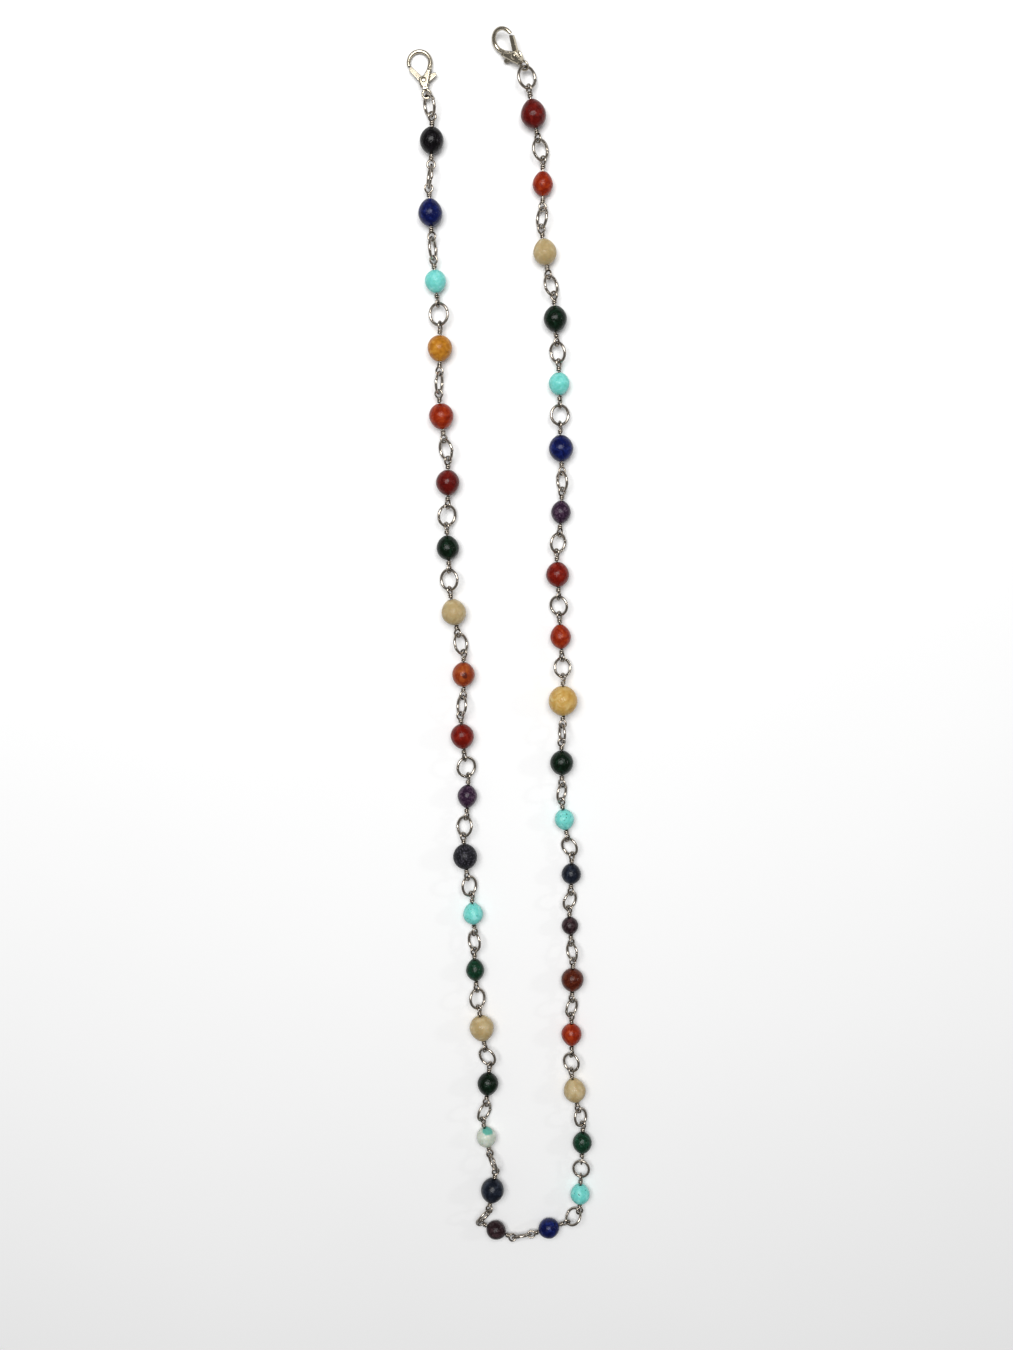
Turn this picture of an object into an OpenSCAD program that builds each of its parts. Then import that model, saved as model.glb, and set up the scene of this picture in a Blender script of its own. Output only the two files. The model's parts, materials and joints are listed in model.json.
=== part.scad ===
// Beaded eyeglass chain: stone beads on wrapped-wire eye links, joined by jump rings,
// with a lobster clasp at each end.
//
// The chain lies on the surface z = 0 as two strands side by side, joined by the middle
// link at -Y, with both clasps at +Y. Links are numbered along the chain from the left
// clasp (1) to the right clasp (39), and link 20 is the middle one.
// The origin is under the centre of the chain's outline. Millimetres, +Z up.

/* [Eye links] */
// Diameter of the wire that runs through a bead and makes its two eyes
eye_wire_d = 0.55; // [0.45:0.05:0.8]
// Outside diameter of an eye
eye_od = 2.65; // [2.4:0.05:3.6]
// Turns of wire wrapped round the neck of each eye
wrap_turns = 2; // [1:1:4]
// Bare neck between the wraps and the eye
neck_l = 0.06; // [0.04:0.02:1]
// Play between a bead's hole and the wire, all round
bead_play = 0.15; // [0.05:0.05:0.3]

/* [Jump rings] */
// Diameter of the jump rings' wire
ring_wire_d = 0.8; // [0.6:0.05:1]
// Outside diameter of the left strand's jump rings
left_ring_od = 6.4; // [5:0.1:8]
// Outside diameter of the right strand's jump rings
right_ring_od = 6; // [5:0.1:8]
// Outside diameter of the ring at each clasp
end_ring_od = 6.2; // [5.4:0.1:9]
// Play where an eye hangs on a ring
link_play = 0.2; // [0.12:0.02:0.3]

/* [Beads] */
// Every bead's size, as a share of its size on the worn chain
bead_scale = 1; // [0.8:0.05:1.25]

/* [Clasps] */
// Inside radius of the hook's round
hook_r = 2.35; // [2:0.05:3.5]
// From the lever's rivet to the near side of the hook's round
gate_l = 2.55; // [2.2:0.05:3.5]
// Width of the hook's section, in the plane of the hook
hook_w = 1.0; // [0.8:0.05:1.4]
// Thickness of the hook's section
hook_t = 1.2; // [0.9:0.05:1.6]
// Outside diameter of the clasp's eye
clasp_eye_od = 2.8; // [2.6:0.05:3.6]
// Diameter of the section of the clasp's eye
clasp_eye_wire = 0.65; // [0.5:0.05:0.8]
// Thickness of the clasp's body over both cheeks
body_t = 2.4; // [2.1:0.1:3.2]
// Thickness of the lever
lever_t = 0.9; // [0.7:0.05:1.1]
// From the clasp's eye to the lever's rivet
rivet_reach = 2; // [1.8:0.05:3]
// Diameter of the rivet that the lever turns on
rivet_d = 0.9; // [0.7:0.05:1]
// Running clearance of the lever, round the rivet and beside the cheeks
lever_play = 0.05; // [0.03:0.01:0.1]

/* [Hidden] */
$fn = 96;
UP = [0, 0, 1];
SLOPE_MAX = 60;          // steepest a jump ring may stand between two beads

// ---- Bead rows, from the middle of the chain outward ----
// [bead diameter, lean of the link, lean of the ring before it, roll of that ring,
//  point, stone]. Leans are degrees from +Y towards -X. Roll 0 is a ring lying flat
// and 90 one standing on edge. Point is how far each end of the bead is drawn out
// beyond a round one, and 0 is a round bead.
MIDDLE_BEAD = [6.2, 108, 0, 0, 0.25, "lapis"];
LEFT_ROWS = [
    [5.8,  60, 100,  60, 0.25, "plum"],
    [7.2, -12, -35, -58, 0.4, "midnight"],
    [6.0,   8,  15,  68, 0.2, "shell"],
    [6.4,  -8, -14, -50, 0.5, "forest"],
    [7.4,   5,  11,  30, 0.3, "cream"],
    [5.6,   0,   4, -40, 0.75, "moss"],
    [6.0,   1,  -5,  50, 0.3, "turquoise"],
    [7.2,   2,  10, -42, 0.15, "slate"],
    [5.8,  -6, -13,  40, 0.6, "amethyst"],
    [6.8,   2,   8, -25, 0.3, "jasper"],
    [6.8,  -4, -12,  65, 0.2, "amber"],
    [7.0,   7,  14, -55, 0.25, "cream"],
    [6.4,   0,  -2,  30, 0.3, "forest"],
    [6.6,  -4,  -7, -35, 0.3, "oxblood"],
    [6.8,   3,   8,  50, 0.2, "carnelian"],
    [6.8,  -4,  -6, -75, 0.2, "ochre"],
    [5.8,   2,   3,  20, 0.2, "turquoise"],
    [6.6,   0,   1, -75, 0.4, "lapis"],
    [6.4,  -5, -10,  78, 0.35, "onyx"]
];
RIGHT_ROWS = [
    [6.0,  -4, -50,  60, 0.25, "turquoise"],
    [6.0,  -4,  -6,  12, 0.5, "moss"],
    [6.8,   7,  14, -45, 0.5, "cream"],
    [6.2,  -2,  -5,  35, 0.5, "carnelian"],
    [6.8,  -4,  -4, -48, 0.15, "russet"],
    [5.0,   1,   3,  58, 0.25, "plum"],
    [5.8,  -4,  -8, -45, 0.2, "midnight"],
    [5.8,   6,  12,  38, 0.2, "turquoise"],
    [6.8,  -2,  -4, -60, 0.25, "forest"],
    [8.4,  -3,  -6,  75, 0.15, "honey"],
    [6.0,   1,   1, -30, 0.6, "carnelian"],
    [6.6,   0,  -1,  30, 0.3, "jasper"],
    [5.6,  -6, -12, -35, 0.5, "amethyst"],
    [6.8,   0,  -2,  60, 0.35, "lapis"],
    [5.8,  -1,  -2, -15, 0.2, "turquoise"],
    [6.4,   1,   3,  40, 0.4, "forest"],
    [6.4,   6,  14, -50, 0.35, "cream"],
    [5.6,  -3,  -7,  62, 0.6, "carnelian"],
    [6.8,   8,  12, -40, 0.4, "oxblood"]
];
// [lean of the end ring, its roll, lean of the clasp, its roll, height of its eye, its pitch]
LEFT_END  = [12,  60, 10,   0, 2.5, -9];
RIGHT_END = [ 8, -32, 38, 220, 3.3, -1];

STONES = [
    ["onyx", "#1c1a22"], ["lapis", "#232c6e"], ["turquoise", "#5fd0c4"], ["ochre", "#c98a2c"],
    ["carnelian", "#c2451f"], ["oxblood", "#6e1d18"], ["jasper", "#96271c"], ["forest", "#16301f"],
    ["moss", "#1f4a33"], ["cream", "#d9c59c"], ["honey", "#e0bd74"], ["amber", "#d0652a"],
    ["amethyst", "#4a2c50"], ["plum", "#3a2530"], ["slate", "#2a2f3c"], ["midnight", "#1c2234"],
    ["shell", "#e6e8df"], ["russet", "#6b3220"]
];
METAL = "#b9ae98";
function stone_colour(name) = STONES[search([name], STONES)[0]][1];

// ---- The links as one list, number 1 at index 0 ----
side_links = len(LEFT_ROWS);
middle = side_links;
links = side_links + 1 + len(RIGHT_ROWS);
function reversed(list) = [for (i = [len(list) - 1 : -1 : 0]) list[i]];
rows = concat(reversed(LEFT_ROWS), [MIDDLE_BEAD], RIGHT_ROWS);
function bead_d(i) = rows[i][0] * bead_scale;
function bead_point(i) = rows[i][4] * bead_scale;

// ---- Sizes that follow from the driving ones ----
ring_hold = (eye_wire_d + ring_wire_d) / 2 + link_play;   // ring wire to eye wire, centres
eye_r = (eye_od - eye_wire_d) / 2;
core_d = eye_wire_d * 0.9;                // the wire is drawn a little thinner at its necks
wrap_pitch = eye_wire_d * 0.9;
wrap_r = core_d / 2 + eye_wire_d * 0.38;  // neck's axis to the middle of a wrap
wrap_gap = 0.03;                          // bead to its first wrap
// From the bead to the middle of the eye's wire
wrap_l = wrap_gap + (wrap_turns - 1) * wrap_pitch + eye_wire_d * 1.5 + neck_l;
bead_hole_r = eye_wire_d / 2 + bead_play;
hole_rim = 0.25;                          // flat round the hole at a pointed bead's tip
function bead_half(i) = bead_d(i) / 2 + bead_point(i);
function eye_at(i) = bead_half(i) + wrap_l + eye_r;       // bead centre to eye centre
function hold_at(i) = eye_at(i) + eye_r - ring_hold;      // bead centre to the ring's wire
function strand_ring_od(i) = i <= middle ? left_ring_od : right_ring_od;

// ---- Directions ----
function side_of(lean) = [cos(lean), sin(lean), 0];
function along(lean, pitch = 0) =
    [-sin(lean) * cos(pitch), cos(lean) * cos(pitch), sin(pitch)];
function upright(lean, pitch) = cross(side_of(lean), along(lean, pitch));
// Direction of a ring's wire where an eye hangs on it
function ring_tangent(lean, pitch, roll) =
    cos(roll) * side_of(lean) + sin(roll) * upright(lean, pitch);

// ---- Where everything lies ----
// A link is [centre, lean]. Its lean points outward, away from the middle link.
function rest_height(i) = bead_d(i) / 2;
function ring_pitch(rise, span) = asin(max(-sin(SLOPE_MAX), min(sin(SLOPE_MAX), rise / span)));
function next_link(from, i, od) =
    let (rise = rest_height(i) - from[2],
         pitch = ring_pitch(rise, od - ring_wire_d),
         near = from + (od - ring_wire_d) * along(rows[i][2], pitch))
    near + hold_at(i) * along(rows[i][1]);
function outer_hold(centre, i, lean) = centre + hold_at(i) * along(lean);
function strand(list, i, step) =
    i < 0 || i >= links ? list
    : let (before = i - step,
           lean = before == middle ? rows[middle][1] + (step > 0 ? 180 : 0) : rows[before][1],
           from = outer_hold(list[len(list) - 1], before, lean),
           od = step > 0 ? right_ring_od : left_ring_od)
      strand(concat(list, [next_link(from, i, od)]), i + step, step);
start = [0, 0, rest_height(middle)];
left_centres = strand([start], middle - 1, -1);
right_centres = strand([start], middle + 1, 1);
raw_centres = [for (i = [0 : links - 1])
    i <= middle ? left_centres[middle - i] : right_centres[i - middle]];

// The ring between link i and its neighbour nearer the middle: [near hold, far hold]
function inward(i) = i < middle ? i + 1 : i - 1;
function inward_lean(i) =
    inward(i) == middle ? rows[middle][1] + (i > middle ? 180 : 0) : rows[inward(i)][1];
function ring_ends(centres, i) =
    [outer_hold(centres[inward(i)], inward(i), inward_lean(i)),
     centres[i] - hold_at(i) * along(rows[i][1])];

// ---- The ends: ring and clasp ----
function end_link(side) = side < 0 ? 0 : links - 1;
function end_data(side) = side < 0 ? LEFT_END : RIGHT_END;
clasp_eye_r = (clasp_eye_od - clasp_eye_wire) / 2;
clasp_hold = (clasp_eye_wire + ring_wire_d) / 2 + link_play / 2;
function end_ring_near(centres, side) =
    outer_hold(centres[end_link(side)], end_link(side), rows[end_link(side)][1]);
function end_ring_pitch(centres, side) =
    ring_pitch(end_data(side)[4] - end_ring_near(centres, side)[2], end_ring_od - ring_wire_d);
function end_ring_far(centres, side) = end_ring_near(centres, side)
    + (end_ring_od - ring_wire_d) * along(end_data(side)[0], end_ring_pitch(centres, side));
function clasp_eye_centre(centres, side) = end_ring_far(centres, side)
    + (clasp_eye_r - clasp_hold) * along(end_data(side)[2], end_data(side)[5]);

// Lobster clasp, in its own frame: eye at the origin, nose towards +Y
hook_mid_r = hook_r + hook_w / 2;
pivot = [0.1, clasp_eye_od / 2 + rivet_reach];
hook_y = pivot[1] + gate_l + hook_r;       // centre of the hook's round
hook_gate_a = 188;                         // where the hook's tip meets the lever
hook_limb_a = -28;                         // where the hook's round runs into its limb
hook_centre = [0, hook_y];

// ---- The origin: under the centre of the outline ----
function clasp_nose_centre(centres, side) = clasp_eye_centre(centres, side)
    + hook_y * along(end_data(side)[2], end_data(side)[5]);
hook_outer_r = hook_r + hook_w;
x_low = min(concat([for (i = [0 : links - 1]) raw_centres[i][0] - bead_d(i) / 2],
                   [clasp_nose_centre(raw_centres, -1)[0] - hook_outer_r]));
x_high = max([for (i = [0 : links - 1]) raw_centres[i][0] + bead_d(i) / 2]);
y_low = min([for (i = [0 : links - 1]) raw_centres[i][1] - bead_d(i) / 2]);
y_high = max(clasp_nose_centre(raw_centres, -1)[1], clasp_nose_centre(raw_centres, 1)[1])
    + hook_outer_r;
// A ring or clasp that would dip under the surface lifts the whole chain
function ring_low(i) = let (ends = ring_ends(raw_centres, i))
    (ends[0][2] + ends[1][2]) / 2 - strand_ring_od(i) / 2 * abs(sin(rows[i][3]));
function end_ring_low(side) =
    (end_ring_near(raw_centres, side)[2] + end_ring_far(raw_centres, side)[2]) / 2
    - end_ring_od / 2 * abs(sin(end_data(side)[1]));
function clasp_low(side) = min(clasp_nose_centre(raw_centres, side)[2], end_data(side)[4])
    - hook_outer_r * abs(sin(end_data(side)[3])) - hook_t / 2;
lift = max(0, -min([for (i = [0 : links - 1]) if (i != middle) ring_low(i)]),
           -min(end_ring_low(-1), end_ring_low(1), clasp_low(-1), clasp_low(1)));
shift = [-(x_low + x_high) / 2, -(y_low + y_high) / 2, lift];
centres = [for (c = raw_centres) c + shift];

// ---- Nodes ----
function two_digits(n) = n < 10 ? str("0", n) : str(n);
function link_name(i) = str("bead_link_", two_digits(i + 1));
SIDES = [["left", -1], ["right", 1]];

// ---- Shared shapes ----
module wire_ring(mean_r, wire_d) {
    rotate_extrude() translate([mean_r, 0]) circle(d = wire_d);
}

// Lays a jump ring between two points, rolled about the line that joins them
module ring_between(ends, lean, roll, od) {
    pitch = asin((ends[1][2] - ends[0][2]) / norm(ends[1] - ends[0]));
    translate((ends[0] + ends[1]) / 2)
        rotate([0, 0, lean]) rotate([pitch, 0, 0]) rotate([0, -roll, 0])
            wire_ring((od - ring_wire_d) / 2, ring_wire_d);
}

// ---- Eye link ----
// A bead, drilled along Z. A pointed one is drawn out to a small flat at each end.
module bead(d, point) {
    tip = d / 2 + point;
    flat_r = bead_hole_r + hole_rim;
    shoulder = d / 2 * 0.8;
    difference() {
        if (point > 0)
            rotate_extrude() union() {
                intersection() {
                    circle(d = d);
                    translate([0, -d]) square([d, 2 * d]);
                }
                polygon([[0, -tip], [flat_r, -tip], [shoulder, -shoulder / 2],
                         [shoulder, shoulder / 2], [flat_r, tip], [0, tip]]);
            }
        else
            sphere(d = d);
        cylinder(r = bead_hole_r, h = 3 * d, center = true);
    }
}

// The wire: a core through the bead, wrapped necks and an eye at each end.
// The eyes' rolls turn them square to the rings that they hang on.
module eye_wire(i, near_roll, far_roll) {
    neck = bead_half(i) + wrap_l;
    first_wrap = bead_half(i) + wrap_gap + eye_wire_d / 2;
    rotate_extrude() union() {
        translate([0, -neck]) square([core_d / 2, 2 * neck]);
        for (end = [0, 1]) mirror([0, end]) {
            translate([0, first_wrap - eye_wire_d / 4])
                square([wrap_r, (wrap_turns - 1) * wrap_pitch + eye_wire_d / 2]);
            for (turn = [0 : wrap_turns - 1])
                translate([wrap_r, first_wrap + turn * wrap_pitch]) circle(d = eye_wire_d);
        }
    }
    for (end = [[-1, near_roll], [1, far_roll]])
        translate([0, 0, end[0] * eye_at(i)]) rotate([0, 0, -end[1]]) rotate([0, 90, 0])
            wire_ring(eye_r, eye_wire_d);
}

// How far an eye is rolled about its link, for its hole to face along a ring's wire
function eye_roll(tangent, lean) = atan2(tangent[2], tangent * side_of(lean));
function pitch_of(ends) = asin((ends[1][2] - ends[0][2]) / norm(ends[1] - ends[0]));
function ring_tangent_at(i) =
    ring_tangent(rows[i][2], pitch_of(ring_ends(centres, i)), rows[i][3]);
function end_tangent(side) =
    ring_tangent(end_data(side)[0], end_ring_pitch(centres, side), end_data(side)[1]);
function near_tangent(i) = i == middle ? ring_tangent_at(middle + 1) : ring_tangent_at(i);
function far_tangent(i) =
    i == 0 ? end_tangent(-1) : i == links - 1 ? end_tangent(1)
    : i <= middle ? ring_tangent_at(i - 1) : ring_tangent_at(i + 1);

module jump_ring_of(i) {
    color(METAL)
        ring_between(ring_ends(centres, i), rows[i][2], rows[i][3], strand_ring_od(i));
}

// One link of the chain with the jump ring that it carries on its outer side.
// The middle link carries one on each side.
module bead_link(i) {
    lean = rows[i][1];
    translate(centres[i]) rotate([-90, 0, lean]) {
        color(stone_colour(rows[i][5])) bead(bead_d(i), bead_point(i));
        color(METAL) eye_wire(i, eye_roll(near_tangent(i), lean), eye_roll(far_tangent(i), lean));
    }
    if (i > 0 && i <= middle) jump_ring_of(i - 1);
    if (i < links - 1 && i >= middle) jump_ring_of(i + 1);
}

// ---- Ends ----
module end_ring(side) {
    color(METAL)
        ring_between([end_ring_near(centres, side), end_ring_far(centres, side)],
                     end_data(side)[0], end_data(side)[1], end_ring_od);
}

module place_clasp(side) {
    e = end_data(side);
    translate(clasp_eye_centre(centres, side))
        rotate([0, 0, e[2]]) rotate([e[5], 0, 0]) rotate([0, -e[3], 0]) children();
}

// Hook section: round wire, flattened on the inside where it bears on what it holds
module hook_section() {
    intersection() {
        circle(d = hook_t);
        translate([-hook_w / 2, -hook_t]) square([hook_w / 2 + hook_t, 2 * hook_t]);
    }
}

// The pouch that carries the lever between two cheeks
body_top = hook_y - hook_r * 0.95;            // where the limb leaves the pouch
spine_y = pivot[1] - 1.35;                    // below this the pouch is solid
slot_t = lever_t + 2 * lever_play;
limb_x = hook_mid_r * cos(hook_limb_a);
limb_y = hook_y + hook_mid_r * sin(hook_limb_a);
pouch_outline = [
    [-0.7, clasp_eye_r], [0.7, clasp_eye_r], [1.5, spine_y + 0.2], [2.5, pivot[1] + 1.2],
    [limb_x + 0.45, body_top + 0.35], [limb_x - 0.7, body_top + 0.5], [0.3, pivot[1] + 1.35],
    [-1.3, pivot[1] + 0.9], [-1.5, pivot[1] - 0.4], [-1.2, spine_y]
];

module clasp_hook() {
    color(METAL) {
        wire_ring(clasp_eye_r, clasp_eye_wire);
        translate(hook_centre) rotate([0, 0, hook_limb_a])
            rotate_extrude(angle = hook_gate_a - hook_limb_a)
                translate([hook_mid_r, 0]) hook_section();
        difference() {
            union() {
                translate([0, 0, -body_t / 2]) linear_extrude(body_t) polygon(pouch_outline);
                hull() {
                    translate([limb_x, limb_y, 0]) sphere(d = hook_w, $fn = 24);
                    translate([limb_x - 0.15, body_top, 0]) sphere(d = hook_w, $fn = 24);
                }
            }
            lever_slot();
            translate([pivot[0], pivot[1], -body_t])
                cylinder(d = rivet_d, h = 2 * body_t);
        }
    }
}

// The room that the lever sweeps between the cheeks
module lever_slot() {
    translate([-5, spine_y, -slot_t / 2]) cube([5 + limb_x - 1, 6, slot_t]);
    translate([0, spine_y, -slot_t / 2]) cube([6, pivot[1] + 1.75 - spine_y, slot_t]);
}

// The gate's end is cut on a slant, to swing clear of the hook's tip as it opens inward
function on_hook(r) = hook_centre + r * [cos(hook_gate_a), sin(hook_gate_a)];
gate_outer = on_hook(hook_r + hook_w) + [0.1, -0.85];
gate_inner = on_hook(hook_r) - [0.05, 0.12];
tab_tip = pivot + [3.6, 0.9];
hub_r = 1.15;
spring_r = 0.85;
spring_l = lever_t * 0.4;

module clasp_lever() {
    color(METAL)
    difference() {
        translate([0, 0, -lever_t / 2]) {
            translate(pivot) cylinder(r = hub_r, h = lever_t);
            linear_extrude(lever_t)
                polygon([pivot + [-1.1, -0.3], gate_outer, gate_inner, pivot + [-0.1, 0.95]]);
            linear_extrude(lever_t)
                polygon([pivot + [0.2, 1.12], tab_tip + [0, 0.55], tab_tip + [0.1, -0.45], pivot + [0.5, -1]]);
        }
        translate([pivot[0], pivot[1], -lever_t])
            cylinder(r = rivet_d / 2 + lever_play, h = 2 * lever_t);
        translate([pivot[0], pivot[1], -lever_t])
            cylinder(r = spring_r + lever_play, h = lever_t / 2 + spring_l + lever_play);
    }
}

head_r = rivet_d / 2 + 0.3;
head_h = 0.25;
module clasp_rivet() {
    color(METAL) translate([pivot[0], pivot[1], 0]) {
        cylinder(d = rivet_d, h = body_t, center = true);
        for (face = [0, 180]) rotate([face, 0, 0])
            translate([0, 0, body_t / 2]) cylinder(r1 = head_r, r2 = head_r * 0.6, h = head_h);
    }
}

// The coil that closes the lever
module clasp_spring() {
    color(METAL) translate([pivot[0], pivot[1], -lever_t / 2])
        difference() {
            cylinder(r = spring_r, h = spring_l);
            translate([0, 0, -spring_l])
                cylinder(r = rivet_d / 2 + lever_play, h = 3 * spring_l);
        }
}

for (i = [0 : links - 1])
    bead_link(i);
for (s = SIDES) {
    end_ring(s[1]);
    place_clasp(s[1]) clasp_hook();
    place_clasp(s[1]) clasp_lever();
    place_clasp(s[1]) clasp_rivet();
    place_clasp(s[1]) clasp_spring();
}
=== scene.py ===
# %% [markdown]
# # A beaded eyeglass chain
#
# Thirty-nine polished stone beads hang in a row, each on its own wrapped-wire link. Jump
# rings join the links, and a lobster clasp at each end holds the arms of the glasses.
# The lesson shows how to make many small hard pieces from a few rules: every place is
# measured on the CAD frame, every shape is a swept wire, a turned profile or a casting,
# and every stone has its own procedural material.

# %% Load the frame
import json
import math
import random

import bmesh
import bpy
import numpy as np
from mathutils import Matrix, Vector


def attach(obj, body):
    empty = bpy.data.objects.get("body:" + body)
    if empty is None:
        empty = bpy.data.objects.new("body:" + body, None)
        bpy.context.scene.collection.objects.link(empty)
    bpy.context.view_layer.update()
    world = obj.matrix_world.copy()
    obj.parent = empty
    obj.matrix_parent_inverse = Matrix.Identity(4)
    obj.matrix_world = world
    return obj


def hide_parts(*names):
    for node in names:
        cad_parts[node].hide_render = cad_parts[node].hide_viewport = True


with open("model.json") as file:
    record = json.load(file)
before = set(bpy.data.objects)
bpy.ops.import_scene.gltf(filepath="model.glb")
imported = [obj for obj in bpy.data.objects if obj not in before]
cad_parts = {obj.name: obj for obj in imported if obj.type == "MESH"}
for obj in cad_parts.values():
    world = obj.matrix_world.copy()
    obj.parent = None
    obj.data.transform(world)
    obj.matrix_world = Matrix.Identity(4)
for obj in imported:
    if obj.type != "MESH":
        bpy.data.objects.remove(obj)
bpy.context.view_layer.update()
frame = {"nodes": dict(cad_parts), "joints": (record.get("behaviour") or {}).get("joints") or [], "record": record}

scene = bpy.context.scene
MM = 0.001

# %% [markdown]
# ## Finding the pieces inside the CAD nodes
#
# A link's CAD node holds a bead, the wire through it and a jump ring as separate solids
# in one mesh. Corners that share an edge belong to the same solid, so each corner takes
# the lowest number among its neighbours until nothing changes. That could be done by
# hand in Edit Mode with Separate by Loose Parts; in code it leaves the frame untouched.

# %% Split a node into its solids
def solids_in(node):
    mesh = frame["nodes"][node].data
    corners = np.empty(len(mesh.vertices) * 3)
    mesh.vertices.foreach_get("co", corners)
    pairs = np.empty(len(mesh.edges) * 2, dtype=int)
    mesh.edges.foreach_get("vertices", pairs)
    places, same = np.unique(np.round(corners.reshape(-1, 3), 7), axis=0, return_inverse=True)
    pairs = same.ravel()[pairs].reshape(-1, 2)
    label = np.arange(len(places))
    while True:
        before = label.copy()
        lowest = label[pairs].min(axis=1)
        np.minimum.at(label, pairs[:, 0], lowest)
        np.minimum.at(label, pairs[:, 1], lowest)
        label = label[label]
        if (label == before).all():
            return [places[label == number] for number in np.unique(label)]


# %% [markdown]
# ## Telling a bead from a ring from a wire
#
# The spread of a solid's corners along its own three directions says what it is. A bead
# spreads the same way in all three, a ring is flat, and the wire is long. The middle of
# the solid's extent is its centre, and its thinnest direction is a ring's normal.

# %% Measure a solid
def own_directions(corners):
    """Spread and unit directions of a solid, thinnest first."""
    spread, directions = np.linalg.eigh(np.cov((corners - corners.mean(axis=0)).T))
    return np.sqrt(spread), directions.T


def middle_of(corners):
    return (corners.min(axis=0) + corners.max(axis=0)) / 2


def kind_of(corners):
    spread, _ = own_directions(corners)
    if spread[0] > 0.6 * spread[2]:
        return "bead"
    return "ring" if spread[1] > 0.7 * spread[2] else "wire"


# %% [markdown]
# ## Measuring the links
#
# The wire's long direction gives the link's axis. Each end of the wire is an eye, and
# the corners near that end give the eye's centre and the way its hole faces. The eye's
# size is one of the chain's few driving dimensions, repeated here from the design.

# %% Driving dimensions of the wirework
EYE_WIRE = 0.55 * MM
EYE_OUTSIDE = 2.65 * MM
EYE_RADIUS = (EYE_OUTSIDE - EYE_WIRE) / 2
RING_WIRE = 0.8 * MM
BEAD_HOLE_RADIUS = 0.425 * MM
LINKS = 39


# %% Measure one eye
def eye_at_end(wire, axis):
    """Centre and normal of the eye at the end of the wire that the axis points to."""
    reach = wire @ axis
    near_end = wire[reach > reach.max() - 0.95 * EYE_OUTSIDE]
    across = near_end - np.outer(near_end @ axis, axis)
    centre = middle_of(across) + axis * (reach.max() - EYE_OUTSIDE / 2)
    _, directions = own_directions(near_end)
    return centre, directions[0]


def unit(vector):
    return vector / np.linalg.norm(vector)


# %% Measure every link
def measure_link(number):
    node = f"bead_link_{number:02d}"
    parts = {"bead": [], "wire": [], "ring": []}
    for corners in solids_in(node):
        parts[kind_of(corners)].append(corners)
    bead, wire = parts["bead"][0], parts["wire"][0]
    axis = own_directions(wire)[1][2]
    axis = axis if axis[1] > 0 else -axis
    far, near = eye_at_end(wire, axis)[0], eye_at_end(wire, -axis)[0]
    axis = unit(far - near)
    centre = middle_of(bead)
    reach = (bead - centre) @ axis
    off_axis = np.linalg.norm(bead - centre - np.outer(reach, axis), axis=1)
    up = unit(np.array([0, 0, 1]) - axis[2] * axis)
    return {
        "node": node,
        "body": f"link_{number:02d}",
        "centre": centre,
        "axis": axis,
        "up": up,
        "side": np.cross(axis, up),
        "radius": off_axis.max(),
        "half": reach.max(),
        "eyes": [eye_at_end(wire, axis), eye_at_end(wire, -axis)],
        "rings": parts["ring"],
    }


links = {number: measure_link(number) for number in range(1, LINKS + 1)}
diameters = [2 * link["radius"] / MM for link in links.values()]
print(f"{len(links)} links, beads {min(diameters):.1f} to {max(diameters):.1f} mm across")

# %% Which stone each bead is
stone_of = {
    part["node"]: part["material_slot"] for part in frame["record"]["subparts"]
}
print("first link's stone:", stone_of[links[1]["node"]])

# %% [markdown]
# ## Meshes from plain lists
#
# Two small helpers turn numbers into pieces. The first makes an object from corners and
# faces. The second puts a shape made about its own origin where it belongs, by giving it
# the three directions of its place on the chain.

# %% Make a piece and place its points
def piece_from(name, corners, faces):
    mesh = bpy.data.meshes.new(name)
    mesh.from_pydata([tuple(corner) for corner in corners], [], faces)
    mesh.shade_smooth()
    piece = bpy.data.objects.new(name, mesh)
    scene.collection.objects.link(piece)
    return piece


def placed(points, centre, directions):
    return centre + np.asarray(points) @ np.array(directions)


def finish_piece(piece, body, node, material):
    """Every piece rides on a body, stands for a node and has a finish."""
    piece.data.materials.clear()
    piece.data.materials.append(material)
    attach(piece, body)
    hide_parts(node)
    return piece


# %% [markdown]
# ## Wire
#
# Silver wire keeps its round section wherever it bends. Blender's curves do just that: a
# bevel depth turns a line of points into a round wire with flat, snipped ends. The curve
# is turned into a mesh at once.

# %% Sweep a wire along points
def swept_wire(name, points, thickness, sides=8, swell=None):
    """swell, if given, scales the wire at each of its points."""
    curve = bpy.data.curves.new(name, "CURVE")
    curve.dimensions = "3D"
    curve.bevel_depth = thickness / 2
    curve.bevel_resolution = (sides - 4) // 2
    curve.use_fill_caps = True
    line = curve.splines.new("POLY")
    line.points.add(len(points) - 1)
    for index, point in enumerate(points):
        line.points[index].co = (*point, 1)
        if swell is not None:
            line.points[index].radius = swell[index]
    maker = bpy.data.objects.new(name, curve)
    mesh = bpy.data.meshes.new_from_object(maker)
    bpy.data.objects.remove(maker)
    bpy.data.curves.remove(curve)
    welded = bmesh.new()
    welded.from_mesh(mesh)
    bmesh.ops.remove_doubles(welded, verts=welded.verts, dist=0.001 * MM)
    bmesh.ops.recalc_face_normals(welded, faces=welded.faces)
    welded.to_mesh(mesh)
    welded.free()
    mesh.name = name
    mesh.shade_smooth()
    piece = bpy.data.objects.new(name, mesh)
    scene.collection.objects.link(piece)
    return piece
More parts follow.
